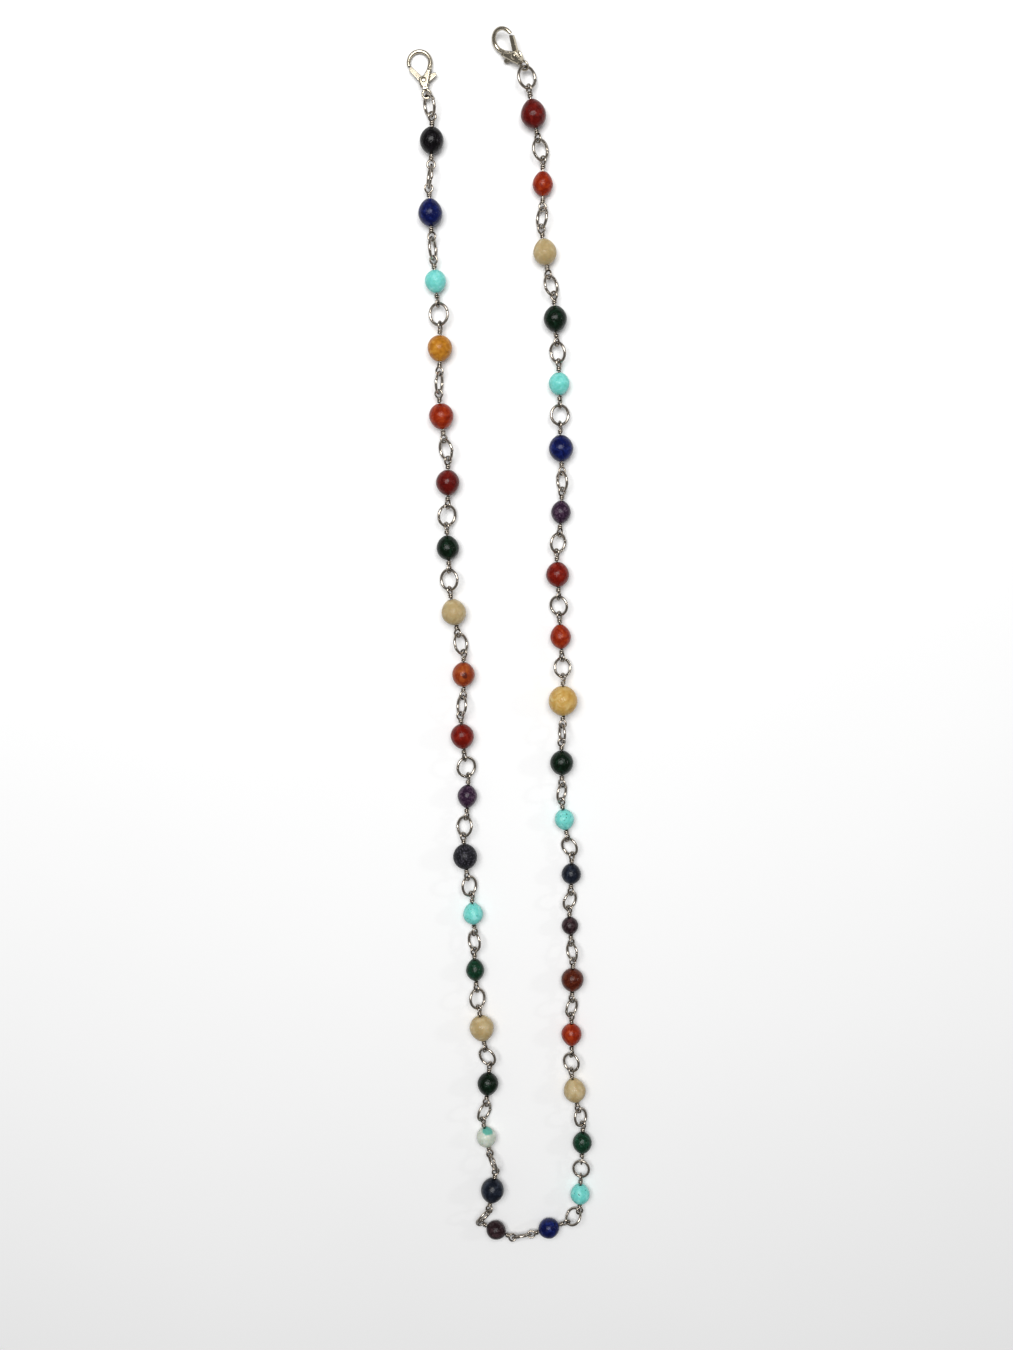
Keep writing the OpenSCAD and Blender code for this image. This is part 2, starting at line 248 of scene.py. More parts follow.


# %% [markdown]
# ## Materials: antique silver
#
# The plated wire and the cast clasps are warm silver that has darkened where nothing
# rubs it. Ambient occlusion finds those places, such as the turns of a wrap. A layer
# weight also pulls the sides that turn away from the camera to the tarnish colour: that
# is painted shade on the metal's edges, not tarnish. Noise breaks it up.
# Constants sit on the shader's own sockets.

# %% Start a material
def start_material(name):
    material = bpy.data.materials.new(name)
    material.use_nodes = True
    tree = material.node_tree
    return material, tree.nodes, tree.links, tree.nodes["Principled BSDF"]


def ramp(nodes, links_, fac, stops):
    """A colour ramp fed by fac, with stops of (position, colour)."""
    made = nodes.new("ShaderNodeValToRGB")
    while len(made.color_ramp.elements) < len(stops):
        made.color_ramp.elements.new(0.5)
    for element, (position, colour) in zip(made.color_ramp.elements, stops):
        element.position = position
        element.color = (*colour, 1) if len(colour) == 3 else colour
    links_.new(fac, made.inputs["Fac"])
    return made.outputs["Color"]


def noise(nodes, links_, coordinates, scale, detail=3, distortion=0.0):
    made = nodes.new("ShaderNodeTexNoise")
    made.inputs["Scale"].default_value = scale
    made.inputs["Detail"].default_value = detail
    made.inputs["Distortion"].default_value = distortion
    links_.new(coordinates, made.inputs["Vector"])
    return made.outputs["Fac"]


def bump(nodes, links_, shader, height, distance, strength=1.0, under=None):
    made = nodes.new("ShaderNodeBump")
    made.inputs["Distance"].default_value = distance
    made.inputs["Strength"].default_value = strength
    links_.new(height, made.inputs["Height"])
    if under is not None:
        links_.new(under, made.inputs["Normal"])
    links_.new(made.outputs["Normal"], shader.inputs["Normal"])
    return made.outputs["Normal"]


def grey(value):
    return (value, value, value)


# %% Antique silver
HOLLOW_REACH = 0.9 * MM      # how far a fold of the metal still gathers tarnish
CLOUD_SHARE = 0.3            # how much the noise adds to that
POLISH_SPREAD = 0.08         # from the smoothest of the metal to its roughest
METAL_RIPPLE = 0.03 * MM


def silver(name, bright, tarnish, polish, grain):
    """polish is the roughness where the metal is rubbed; grain is the size of its marks."""
    material, nodes, links_, shader = start_material(name)
    place = nodes.new("ShaderNodeTexCoord").outputs["Object"]
    hollow = nodes.new("ShaderNodeAmbientOcclusion")
    hollow.inputs["Distance"].default_value = HOLLOW_REACH
    hollow.samples = 6
    cloud = noise(nodes, links_, place, 0.4 / grain, detail=4)
    dark = nodes.new("ShaderNodeMath")
    dark.operation = "MULTIPLY_ADD"
    links_.new(cloud, dark.inputs[0])
    dark.inputs[1].default_value = CLOUD_SHARE
    links_.new(hollow.outputs["AO"], dark.inputs[2])
    # Painted shade: the layer weight darkens the sides that turn away from the camera.
    edge = nodes.new("ShaderNodeLayerWeight")
    edge.inputs["Blend"].default_value = 0.5
    painted_edge_shade = ramp(nodes, links_, edge.outputs["Facing"], [(0.3, grey(1)), (0.75, grey(0.25))])
    # The tarnish of the hollows, times the painted shade on the edges.
    combined = nodes.new("ShaderNodeMath")
    combined.operation = "MULTIPLY"
    links_.new(dark.outputs[0], combined.inputs[0])
    links_.new(painted_edge_shade, combined.inputs[1])
    colour = ramp(nodes, links_, combined.outputs[0], [(0.3, tarnish), (0.95, bright)])
    links_.new(colour, shader.inputs["Base Color"])
    shader.inputs["Metallic"].default_value = 1.0
    marks = noise(nodes, links_, place, 1 / grain, detail=5)
    rough = ramp(nodes, links_, marks, [(0.35, grey(polish)), (0.75, grey(polish + POLISH_SPREAD))])
    links_.new(rough, shader.inputs["Roughness"])
    bump(nodes, links_, shader, cloud, METAL_RIPPLE, 0.35)
    return material


SILVER_WIRE = silver("silver_wire", (0.42, 0.37, 0.31), (0.03, 0.023, 0.018), 0.2, 0.9 * MM)
SILVER_RING = silver("silver_ring", (0.46, 0.41, 0.35), (0.035, 0.028, 0.022), 0.18, 1.2 * MM)
SILVER_CLASP = silver("silver_clasp", (0.56, 0.50, 0.39), (0.06, 0.045, 0.032), 0.22, 1.0 * MM)
SPRING_STEEL = silver("spring_steel", (0.50, 0.50, 0.51), (0.12, 0.12, 0.12), 0.3, 0.6 * MM)

# %% [markdown]
# ## Materials: the stones
#
# Each stone is three tones of one colour, clouded or streaked by noise. The noise
# is read in the bead's own coordinates, which every bead carries as an attribute in
# units of its radius, shifted at random so that no two beads are cut from the same spot.
# A thin coat gives the polish, and a broad soft bump gives the hand-cut surface under it.
# Stones that let light in have a little subsurface scattering.

# %% A polished stone
FACET_DEPTH = 0.3 * MM       # the uneven hand-cut surface
GRAIN_DEPTH = 0.03 * MM      # the fine texture left by polishing
ROUGH_SPREAD = 0.15          # from the smoothest of a stone to its roughest


def stone(name, tones, scale=2.0, swirl=0.6, gloss=0.22, glow=0.0, pits=None, patch=None):
    """tones run from the deepest to the lightest. pits is the colour of dark specks.
    patch is (centre, radius, colour) of a spot of another colour, in the bead's radii."""
    material, nodes, links_, shader = start_material(name)
    own = nodes.new("ShaderNodeAttribute")
    own.attribute_name = "own"
    place = own.outputs["Vector"]
    cloud = noise(nodes, links_, place, scale, detail=6, distortion=swirl)
    stops = [(0.3 + 0.4 * i / (len(tones) - 1), tone) for i, tone in enumerate(tones)]
    colour = ramp(nodes, links_, cloud, stops)
    if pits is not None:
        colour = mixed(nodes, links_, colour, pits, specks(nodes, links_, place))
    if patch is not None:
        colour = mixed(nodes, links_, colour, patch[2], spot(nodes, links_, place, *patch[:2]))
    links_.new(colour, shader.inputs["Base Color"])
    fine = noise(nodes, links_, place, 9, detail=4)
    rough = ramp(nodes, links_, fine, [(0.3, grey(gloss)), (0.75, grey(gloss + ROUGH_SPREAD))])
    links_.new(rough, shader.inputs["Roughness"])
    facets = noise(nodes, links_, place, 4.5, detail=2)
    under = bump(nodes, links_, shader, facets, FACET_DEPTH, 0.6)
    bump(nodes, links_, shader, fine, GRAIN_DEPTH, 0.6, under=under)
    shader.inputs["IOR"].default_value = 1.5
    shader.inputs["Specular IOR Level"].default_value = 0.15
    shader.inputs["Coat Weight"].default_value = 0.1
    shader.inputs["Coat Roughness"].default_value = 0.06
    if glow:
        shader.inputs["Subsurface Weight"].default_value = glow
        shader.inputs["Subsurface Radius"].default_value = (1.0, 0.6, 0.35)
        shader.inputs["Subsurface Scale"].default_value = 1.0 * MM
    return material


# %% Specks, spots and mixing, for the stones that have them
def mixed(nodes, links_, colour, other, factor):
    made = nodes.new("ShaderNodeMix")
    made.data_type = "RGBA"
    links_.new(factor, made.inputs["Factor"])
    links_.new(colour, made.inputs["A"])
    made.inputs["B"].default_value = (*other, 1)
    return made.outputs["Result"]


def specks(nodes, links_, place, scale=3.6):
    cells = nodes.new("ShaderNodeTexVoronoi")
    cells.inputs["Scale"].default_value = scale
    links_.new(place, cells.inputs["Vector"])
    chosen = ramp(nodes, links_, cells.outputs["Distance"], [(0.14, grey(1)), (0.22, grey(0))])
    where = noise(nodes, links_, place, 1.4, detail=1)
    there = ramp(nodes, links_, where, [(0.42, grey(0)), (0.48, grey(1))])
    both = nodes.new("ShaderNodeMath")
    both.operation = "MULTIPLY"
    links_.new(chosen, both.inputs[0])
    links_.new(there, both.inputs[1])
    return both.outputs[0]


def spot(nodes, links_, place, centre, radius):
    """1 inside a soft-edged ball about centre, broken up by noise."""
    shake = noise(nodes, links_, place, 4, detail=3)
    away = nodes.new("ShaderNodeVectorMath")
    away.operation = "DISTANCE"
    away.inputs[1].default_value = centre
    links_.new(place, away.inputs[0])
    combined = nodes.new("ShaderNodeMath")
    combined.operation = "MULTIPLY_ADD"
    links_.new(shake, combined.inputs[0])
    combined.inputs[1].default_value = 0.35
    links_.new(away.outputs["Value"], combined.inputs[2])
    return ramp(nodes, links_, combined.outputs[0], [(radius * 0.9, grey(1)), (radius * 1.15, grey(0))])


# %% Every stone on the chain
TURQUOISE_TONES = [(0.13, 0.54, 0.47), (0.17, 0.62, 0.57), (0.30, 0.74, 0.69)]
STONES = {
    "onyx": stone("onyx", [(0.001, 0.0008, 0.001), (0.002, 0.0015, 0.002), (0.012, 0.009, 0.013)], swirl=1.2),
    "lapis": stone("lapis", [(0.001, 0.002, 0.035), (0.002, 0.005, 0.06), (0.010, 0.02, 0.14)], swirl=1),
    "turquoise": stone("turquoise", TURQUOISE_TONES, glow=0.15),
    "ochre": stone("ochre", [(0.30, 0.11, 0.006), (0.43, 0.165, 0.012), (0.58, 0.27, 0.035)], glow=0.15),
    "carnelian": stone("carnelian", [(0.17, 0.010, 0.001), (0.26, 0.018, 0.002), (0.38, 0.05, 0.01)],
                       glow=0.15),
    "oxblood": stone("oxblood", [(0.06, 0.002, 0.001), (0.10, 0.003, 0.0015), (0.16, 0.010, 0.006)],
                     swirl=1.2),
    "jasper": stone("jasper", [(0.10, 0.003, 0.001), (0.155, 0.005, 0.001), (0.24, 0.018, 0.008)], swirl=1.0),
    "forest": stone("forest", [(0.0006, 0.004, 0.001), (0.001, 0.007, 0.002), (0.006, 0.024, 0.012)],
                    swirl=1.4),
    "moss": stone("moss", [(0.001, 0.012, 0.004), (0.002, 0.026, 0.010), (0.015, 0.075, 0.042)],
                  1.6, swirl=3.0),
    "cream": stone("cream", [(0.37, 0.27, 0.12), (0.45, 0.34, 0.17), (0.56, 0.46, 0.28)], 1.5, glow=0.3),
    "honey": stone("honey", [(0.45, 0.25, 0.05), (0.53, 0.33, 0.09), (0.65, 0.48, 0.20)], glow=0.3),
    "amber": stone("amber", [(0.19, 0.022, 0.003), (0.27, 0.04, 0.006), (0.37, 0.09, 0.018)], glow=0.15,
                   patch=((0.15, 0.95, 0.1), 0.42, (0.10, 0.012, 0.004))),
    "amethyst": stone("amethyst", [(0.012, 0.004, 0.013), (0.03, 0.011, 0.032), (0.13, 0.08, 0.12)], swirl=2),
    "plum": stone("plum", [(0.010, 0.004, 0.005), (0.020, 0.009, 0.011), (0.065, 0.035, 0.04)], swirl=1),
    "slate": stone("slate", [(0.003, 0.003, 0.004), (0.006, 0.006, 0.009), (0.07, 0.065, 0.085)],
                   7, gloss=0.5),
    "midnight": stone("midnight", [(0.003, 0.004, 0.008), (0.006, 0.009, 0.017), (0.025, 0.032, 0.05)]),
    "shell": stone("shell", [(0.45, 0.50, 0.42), (0.54, 0.59, 0.50), (0.66, 0.69, 0.62)], glow=0.3,
                   patch=((0.35, 0.3, 0.95), 0.75, (0.12, 0.42, 0.34))),
    "russet": stone("russet", [(0.04, 0.004, 0.001), (0.075, 0.010, 0.003), (0.14, 0.032, 0.012)],
                    4, swirl=1),
    "specked_turquoise": stone("specked_turquoise", TURQUOISE_TONES, glow=0.15,
                               pits=(0.02, 0.03, 0.028)),
}
print(len(STONES), "stone materials")

# %% [markdown]
# ## The beads
#
# A bead is turned on a lathe around its hole: one closed outline of radius and height,
# carried round in steps. The outline runs over the outside, rolls into the hole over a
# small rounded rim and comes back along the bore. Hand-polished stone is never quite
# round, so gentle waves sink the surface a little here and there. The waves only take
# material away, which keeps each bead inside its CAD size.

# %% The outline of a bead
BEAD_STEPS = 44
RIM = 0.12 * MM


def bead_outline(radius, half, skew):
    """(distance from the axis, height, share of waviness) from the lower rim upward.
    The further a bead is drawn out, the straighter its shoulders run to its ends. Skew
    moves its widest place towards one end."""
    hole = BEAD_HOLE_RADIUS
    drawn = half / radius - 1
    curve, droop = 1.97 - 0.8 * drawn, 0.51 + 0.55 * drawn
    heights = np.linspace(-1, 1, 37)
    across = radius * (1 - np.abs(heights) ** curve) ** droop
    heights = heights + skew * (1 - heights ** 2)
    outside = [(r, h * half) for r, h in zip(across, heights) if r > hole + 2 * RIM]
    rims = []
    for end in (-1, 1):
        top = end * outside[-1 if end > 0 else 0][1]
        rim = [
            (hole + RIM * (1 - math.sin(a)) + 0.3 * RIM, top + RIM * (math.cos(a) - 0.8))
            for a in np.linspace(0.2, math.pi / 2, 4)
        ]
        rims.append([(r, end * min(h, half)) for r, h in rim] + [(hole, end * (top - 3 * RIM))])
    lower, upper = rims[0][::-1], rims[1]
    waves = [0.0] * len(lower) + [1.0] * len(outside) + [0.0] * len(upper)
    return lower + outside + upper, waves


# %% The waves on a hand-polished bead
def waviness(directions, draw, depth):
    """How far the surface sinks at each direction, from 0 to depth."""
    total = np.zeros(len(directions))
    for _ in range(5):
        pull = np.array([draw.uniform(-2.6, 2.6) for _ in range(3)])
        total += np.cos(directions @ pull + draw.uniform(0, 2 * math.pi))
    return depth * (1 + total / 5) / 2


# %% Turn every bead
WAVE_DEPTH = {"amber": 0.12, "slate": 0.06}
SPECKED = (13, 21, 28)     # turquoise beads that show dark specks, by link number
KEEP_PLACE = ("shell", "amber")     # stones with a mark in a chosen place


def turn_bead(number, link):
    draw = random.Random(100 + number)
    slot = stone_of[link["node"]]
    kind = slot.removeprefix("stone_")
    outline, waves = bead_outline(link["radius"], link["half"], draw.uniform(-0.07, 0.07))
    corners, weight = [], []
    for step in range(BEAD_STEPS):
        turn = 2 * math.pi * step / BEAD_STEPS
        for (r, h), wave in zip(outline, waves):
            corners.append((r * math.cos(turn), r * math.sin(turn), h))
            weight.append(wave)
    corners = np.array(corners)
    directions = corners / link["radius"]
    sink = waviness(directions, draw, WAVE_DEPTH.get(kind, 0.045)) * np.array(weight)
    corners[:, :2] *= (1 - sink)[:, None]
    rows = len(outline)
    faces = [
        (s * rows + row, (s + 1) % BEAD_STEPS * rows + row,
         (s + 1) % BEAD_STEPS * rows + (row + 1) % rows, s * rows + (row + 1) % rows)
        for s in range(BEAD_STEPS) for row in range(rows)
    ]
    directions_of_place = (link["side"], link["up"], link["axis"])
    bead = piece_from(f"bead_{number:02d}", placed(corners, link["centre"], directions_of_place), faces)
    shift = np.zeros(3) if kind in KEEP_PLACE else np.array([draw.uniform(-50, 50) for _ in range(3)])
    own = bead.data.attributes.new("own", "FLOAT_VECTOR", "POINT")
    own.data.foreach_set("vector", (directions + shift).astype(np.float32).ravel())
    finish = "specked_turquoise" if number in SPECKED else kind
    return finish_piece(bead, link["body"], link["node"], STONES[finish])


beads = [turn_bead(number, link) for number, link in links.items()]
print(len(beads), "beads,", sum(len(b.data.polygons) for b in beads), "faces")

# %% [markdown]
# ## The wrapped eyes
#
# A maker threads the bead on a wire, bends the wire over round-nose pliers into an eye,
# crosses it over itself and winds the tail down round the neck to the bead. The path is
# built the same way from its own rules: the straight core, a small bend, the loop, and
# then a helix whose end is snipped. Near the crossing the loop steps aside by the
# thickness of the wire, so that it lies in front of the neck instead of through it.

# %% The path of one wrapped eye
NECK_WRAP_RADIUS = 0.46 * MM    # axis of the neck to the middle of the wound wire
WRAP_TOP = 0.1 * MM             # how far below the eye's wire the winding starts
WRAP_FOOT = 0.3 * MM            # how far above the bead the winding ends


def wrapped_eye(distance, half, turns, squeeze, tail):
    """Points (across, through, along) from the core outward, then down the winding.
    distance is from the bead's centre to the eye's; squeeze narrows the eye."""
    loop_foot = distance - EYE_RADIUS
    bend = 0.35 * MM
    start = math.asin(bend / EYE_RADIUS)
    points = [(0, 0, 0), (0, 0, loop_foot - bend)]
    for a in np.linspace(0.3, 1.2, 3):
        points.append((bend * (1 - math.cos(a)), 0, loop_foot - bend * (1 - math.sin(a))))
    for a in np.linspace(start, 2 * math.pi, 34):
        aside = max(0.0, (a - 1.5 * math.pi) / (0.5 * math.pi))
        aside = aside * aside * (3 - 2 * aside)
        points.append((
            EYE_RADIUS * squeeze * math.sin(a),
            NECK_WRAP_RADIUS * aside,
            distance - EYE_RADIUS * math.cos(a) - WRAP_TOP * aside,
        ))
    top = loop_foot - WRAP_TOP
    drop = top - (half + WRAP_FOOT)
    for a in np.linspace(0, 2 * math.pi * turns, round(18 * turns))[1:]:
        share = a / (2 * math.pi * turns)
        points.append((
            NECK_WRAP_RADIUS * math.sin(a), NECK_WRAP_RADIUS * math.cos(a), top - drop * share))
    last = points[-1]
    points.append((last[0] * (1 + tail), last[1] * (1 + tail), last[2]))
    return points


# %% Wind every eye wire
def wind_eye_wire(number, link):
    draw = random.Random(300 + number)
    ends = []
    for outward, (eye_centre, normal) in zip((1, -1), link["eyes"]):
        distance = abs((eye_centre - link["centre"]) @ link["axis"])
        along = link["axis"] * outward
        through = unit(normal - (normal @ along) * along)
        across = np.cross(through, along)
        path = wrapped_eye(
            distance, link["half"], 1.85 + draw.choice((0.0, 0.35)),
            draw.uniform(0.9, 1.0), draw.uniform(0.05, 0.3))
        ends.append(placed(path, link["centre"], (across, through, along)))
    points = np.vstack([ends[1][::-1], ends[0][1:]])
    wire = swept_wire(f"eye_wire_{number:02d}", points, EYE_WIRE)
    return finish_piece(wire, link["body"], link["node"], SILVER_WIRE)


eye_wires = [wind_eye_wire(number, link) for number, link in links.items()]
print(len(eye_wires), "eye wires,", sum(len(w.data.polygons) for w in eye_wires), "faces")

# %% [markdown]
# ## The jump rings
#
# A jump ring is a turn of wire cut from a coil. Its ends meet at a fine split that never
# closes quite true, and rings that have been opened and shut are a little oval. Each one
# is measured on its CAD solid, and its long direction runs between the eyes it holds.

# %% Bend one ring
RING_SPLIT = 0.07 * MM
RING_POINTS = 72


def bend_ring(name, corners, toward, draw):
    """A ring where the CAD solid is, with its long direction nearest to toward."""
    centre = middle_of(corners)
    normal = own_directions(corners)[1][0]
    long_way = unit(toward - (toward @ normal) * normal)
    wide_way = np.cross(normal, long_way)
    radius = np.linalg.norm(corners - centre, axis=1).max() - RING_WIRE / 2
    oval = draw.uniform(0.9, 0.98)
    split_at = draw.choice((1, -1)) * draw.uniform(1.0, 2.1)
    half_split = RING_SPLIT / 2 / radius
    angles = split_at + np.linspace(half_split, 2 * math.pi - half_split, RING_POINTS)
    lift = draw.uniform(0.04, 0.12) * MM
    points = []
    for share, angle in zip(np.linspace(-1, 1, RING_POINTS), angles):
        bent = share ** 5 * lift
        points.append((radius * math.cos(angle), radius * oval * math.sin(angle), bent))
    return swept_wire(name, placed(points, centre, (long_way, wide_way, normal)), RING_WIRE, 10)


# %% Bend every jump ring
def nearest_eye(point, link):
    return min((eye for eye, _ in link["eyes"]), key=lambda eye: np.linalg.norm(eye - point))


rings = []
for number, link in links.items():
    for corners in link["rings"]:
        centre = middle_of(corners)
        gaps = {n: np.linalg.norm(nearest_eye(centre, links[n]) - centre)
                for n in (number - 1, number + 1) if n in links}
        other = min(gaps, key=gaps.get)
        first = min(number, other)
        toward = nearest_eye(centre, links[first + 1]) - nearest_eye(centre, links[first])
        ring = bend_ring(f"jump_ring_{first:02d}", corners, toward, random.Random(500 + first))
        rings.append(finish_piece(ring, link["body"], link["node"], SILVER_RING))
print(len(rings), "jump rings")

# %% The two rings that hold the clasps
SIDES = {"left": 1, "right": LINKS}
joints = {joint["name"]: joint for joint in frame["joints"]}
for side, number in SIDES.items():
    node = f"{side}_end_ring"
    corners = solids_in(node)[0]
    toward = middle_of(corners) - nearest_eye(middle_of(corners), links[number])
    ring = bend_ring(node + "_wire", corners, toward, random.Random(side))
    finish_piece(ring, node, node, SILVER_RING)

# %% [markdown]
# ## The lobster clasps: where they are
#
# A clasp is easiest to draw flat, with its eye at the origin and its nose along +Y. The
# frame says where that drawing goes: the lever's joint marks the rivet and the way the
# clasp faces, and the mount marks the middle of the hook.

# %% Driving dimensions of a clasp
PIVOT = np.array([0.1, 3.4]) * MM
HOOK_CENTRE = np.array([0.0, 8.3]) * MM
HOOK_RADIUS = 2.85 * MM          # to the middle of the hook's section
HOOK_THICK = 1.1 * MM
CLASP_EYE_RADIUS = 1.075 * MM
CLASP_EYE_WIRE = 0.65 * MM
BODY_THICK = 2.4 * MM
LEVER_THICK = 0.9 * MM
RIVET_RADIUS = 0.45 * MM
PLAY = 0.05 * MM
mounts = {mount["name"]: mount for mount in frame["record"]["mounts"]}


def clasp_place(side):
    """The eye's centre and the three directions of the flat drawing."""
    joint = joints[f"{side}_lever_press"]
    rivet = np.array(joint["pos_m"])
    normal = -unit(np.array(joint["axis"]))
    to_hook = unit(np.array(mounts[f"{side}_hook"]["pos_m"]) - rivet)
    across, along = HOOK_CENTRE - PIVOT
    lean = math.atan2(-across, along)
    y_way = math.cos(lean) * to_hook - math.sin(lean) * np.cross(normal, to_hook)
    x_way = np.cross(y_way, normal)
    eye = rivet - PIVOT[0] * x_way - PIVOT[1] * y_way
    return eye, (x_way, y_way, normal)


clasps = {side: clasp_place(side) for side in SIDES}
for side, (eye, _) in clasps.items():
    print(side, "clasp's eye at", [round(v / MM, 1) for v in eye], "mm")

# %% [markdown]
# ## The lobster clasps: casting the body
#
# The hook, the pouch for the lever and the eye are one casting, with no sharp joins. The
# parts are drawn roughly, joined, and skinned over by a voxel remesh, and smoothing then
# rounds every meeting, as the mould and the polishing wheel do. The slot for the lever
# is cut afterwards, so that it stays crisp.

# %% Join, remesh and smooth
def apply_modifiers(piece):
    evaluated = piece.evaluated_get(bpy.context.evaluated_depsgraph_get())
    mesh = bpy.data.meshes.new_from_object(evaluated)
    piece.modifiers.clear()
    piece.data = mesh


def cast(name, parts, voxel, rounds):
    """One smooth casting from rough parts that overlap."""
    whole = bmesh.new()
    for part in parts:
        whole.from_mesh(part.data)
        bpy.data.objects.remove(part)
    mesh = bpy.data.meshes.new(name)
    whole.to_mesh(mesh)
    whole.free()
    casting = bpy.data.objects.new(name, mesh)
    scene.collection.objects.link(casting)
    skin = casting.modifiers.new("skin", "REMESH")
    skin.mode = "VOXEL"
    skin.voxel_size = voxel
    polish = casting.modifiers.new("polish", "SMOOTH")
    polish.factor = 0.5
    polish.iterations = rounds
    apply_modifiers(casting)
    casting.data.shade_smooth()
    return casting


def slab(name, outline, low, high):
    """A flat plate with the given outline, from height low to high."""
    count = len(outline)
    corners = [(*point, low) for point in outline] + [(*point, high) for point in outline]
    sides = [(i, (i + 1) % count, (i + 1) % count + count, i + count) for i in range(count)]
    return piece_from(name, corners, [tuple(range(count))[::-1], tuple(range(count, 2 * count)), *sides])


def cut(piece, cutter):
    away = piece.modifiers.new("cut", "BOOLEAN")
    away.operation = "DIFFERENCE"
    away.solver = "EXACT"
    away.object = cutter
    apply_modifiers(piece)
    bpy.data.objects.remove(cutter)


# %% The clasp's body, drawn flat
GATE_ANGLE = math.radians(188)       # where the hook's tip meets the lever
LIMB_ANGLE = math.radians(-28)       # where the round of the hook runs into its limb


def on_hook(angle, radius=HOOK_RADIUS):
    return HOOK_CENTRE + radius * np.array([math.cos(angle), math.sin(angle)])


def circle_points(centre, radius, count, start=0.0, sweep=2 * math.pi):
    angles = start + np.arange(count) * sweep / count
    return [centre + radius * np.array([math.cos(a), math.sin(a)]) for a in angles]


def cast_body(name):
    limb = on_hook(LIMB_ANGLE)
    arc = [on_hook(a) for a in np.linspace(GATE_ANGLE, LIMB_ANGLE, 40)]
    tail = [limb + share * (PIVOT + np.array([0.9, 0.5]) * MM - limb) for share in (0.35, 0.7, 1.0)]
    path = [(*point, 0) for point in arc + tail]
    swell = np.interp(np.linspace(0, 1, len(path)), [0, 0.06, 0.5, 1], [0.88, 0.92, 1.0, 1.1])
    hook = swept_wire("hook_part", path, HOOK_THICK, 12, swell)
    eye_path = [(*point, 0) for point in circle_points(np.zeros(2), CLASP_EYE_RADIUS, 28)]
    eye = swept_wire("eye_part", eye_path + eye_path[:2], CLASP_EYE_WIRE, 10)
    y = PIVOT[1] / MM
    top = HOOK_CENTRE[1] / MM - 2.2
    pouch = [(-0.55, 1.1), (0.55, 1.1), (1.25, y - 1.0), (2.15, y + 1.0), (limb[0] / MM + 0.35, top),
             (limb[0] / MM - 0.6, top + 0.25), (0.4, y + 1.25), (-1.0, y + 0.85),
             (-1.3, y - 0.2), (-1.0, y - 1.3)]
    pouch = [np.array(point) * MM for point in pouch]
    ridge = [point * 0.8 + PIVOT * 0.2 for point in pouch]
    half = BODY_THICK / 2
    cheeks = slab("cheek_part", pouch, -0.8 * half, 0.8 * half)
    crown = slab("crown_part", ridge, -half, half)
    body = cast(name, [hook, eye, cheeks, crown], 0.085 * MM, 6)
    slot_half = LEVER_THICK / 2 + PLAY
    left_room = [(-4, y - 1.33), (1.2, y - 1.33), (1.2, y + 4), (-4, y + 4)]
    right_room = [(0, y - 1.33), (5, y - 1.33), (5, y + 1.75), (0, y + 1.75)]
    for room in (left_room, right_room):
        outline = [np.array(point) * MM for point in room]
        cut(body, slab("slot_part", outline, -slot_half, slot_half))
    cut(body, slab("rivet_hole_part", circle_points(PIVOT, RIVET_RADIUS, 24), -2 * half, 2 * half))
    return body


# %% [markdown]
# ## The lobster clasps: lever, rivet and spring
#
# The lever is a flat stamping with softened edges: a gate that shuts against the hook's
# tip, a hub that turns on the rivet, and a thumb tab. The rivet is turned like a bead,
# with a low domed head at each end. The spring is a fine coil in the hub's hollow.

# %% The lever
HUB_RADIUS = 1.12 * MM
SPRING_RADIUS = 0.85 * MM


def stamp_lever(name):
    outer = on_hook(GATE_ANGLE, HOOK_RADIUS + 0.45 * MM) + np.array([0.1, -0.85]) * MM
    inner = on_hook(GATE_ANGLE, HOOK_RADIUS - 0.45 * MM) - np.array([0.02, 0.14]) * MM
    half = LEVER_THICK / 2
    gate = [PIVOT + np.array([-1.05, -0.25]) * MM, outer, inner, PIVOT + np.array([-0.1, 0.9]) * MM]
    tip = PIVOT + np.array([3.55, 0.9]) * MM
    tab = [PIVOT + np.array([0.2, 1.05]) * MM, tip + np.array([-0.4, 0.52]) * MM,
           tip + np.array([0, 0.35]) * MM, tip + np.array([0.03, -0.3]) * MM,
           tip + np.array([-0.3, -0.42]) * MM, PIVOT + np.array([0.5, -0.95]) * MM]
    parts = [
        slab("gate_part", gate[::-1], -half, half),
        slab("tab_part", tab[::-1], -half, half),
        slab("hub_part", circle_points(PIVOT, HUB_RADIUS, 32), -half, half),
    ]
    lever = cast(name, parts, 0.075 * MM, 3)
    bore = circle_points(PIVOT, RIVET_RADIUS + PLAY, 24)
    hollow = circle_points(PIVOT, SPRING_RADIUS + PLAY, 32)
    cut(lever, slab("bore_part", bore, -LEVER_THICK, LEVER_THICK))
    cut(lever, slab("hollow_part", hollow, -LEVER_THICK, -half + 0.41 * MM))
    return lever


# %% The rivet and the spring
def turn_rivet(name):
    """A pin with a domed head at each end."""
    half = BODY_THICK / 2
    head = 0.72 * MM
    dome = [(head * math.cos(a), half + 0.25 * MM * math.sin(a)) for a in np.linspace(0, 1.45, 7)]
    outline = [(RIVET_RADIUS, 0), (RIVET_RADIUS, half - 0.02 * MM), (head, half - 0.02 * MM), *dome]
    outline = [(r, -h) for r, h in reversed(outline[1:])] + outline
    steps, rows = 32, len(outline)
    corners = [
        (PIVOT[0] + r * math.cos(2 * math.pi * s / steps),
         PIVOT[1] + r * math.sin(2 * math.pi * s / steps), h)
        for s in range(steps) for r, h in outline
    ]
    faces = [
        (s * rows + row, (s + 1) % steps * rows + row, (s + 1) % steps * rows + row + 1, s * rows + row + 1)
        for s in range(steps) for row in range(rows - 1)
    ]
    faces += [tuple(s * rows for s in range(steps))[::-1], tuple(s * rows + rows - 1 for s in range(steps))]
    return piece_from(name, corners, faces)


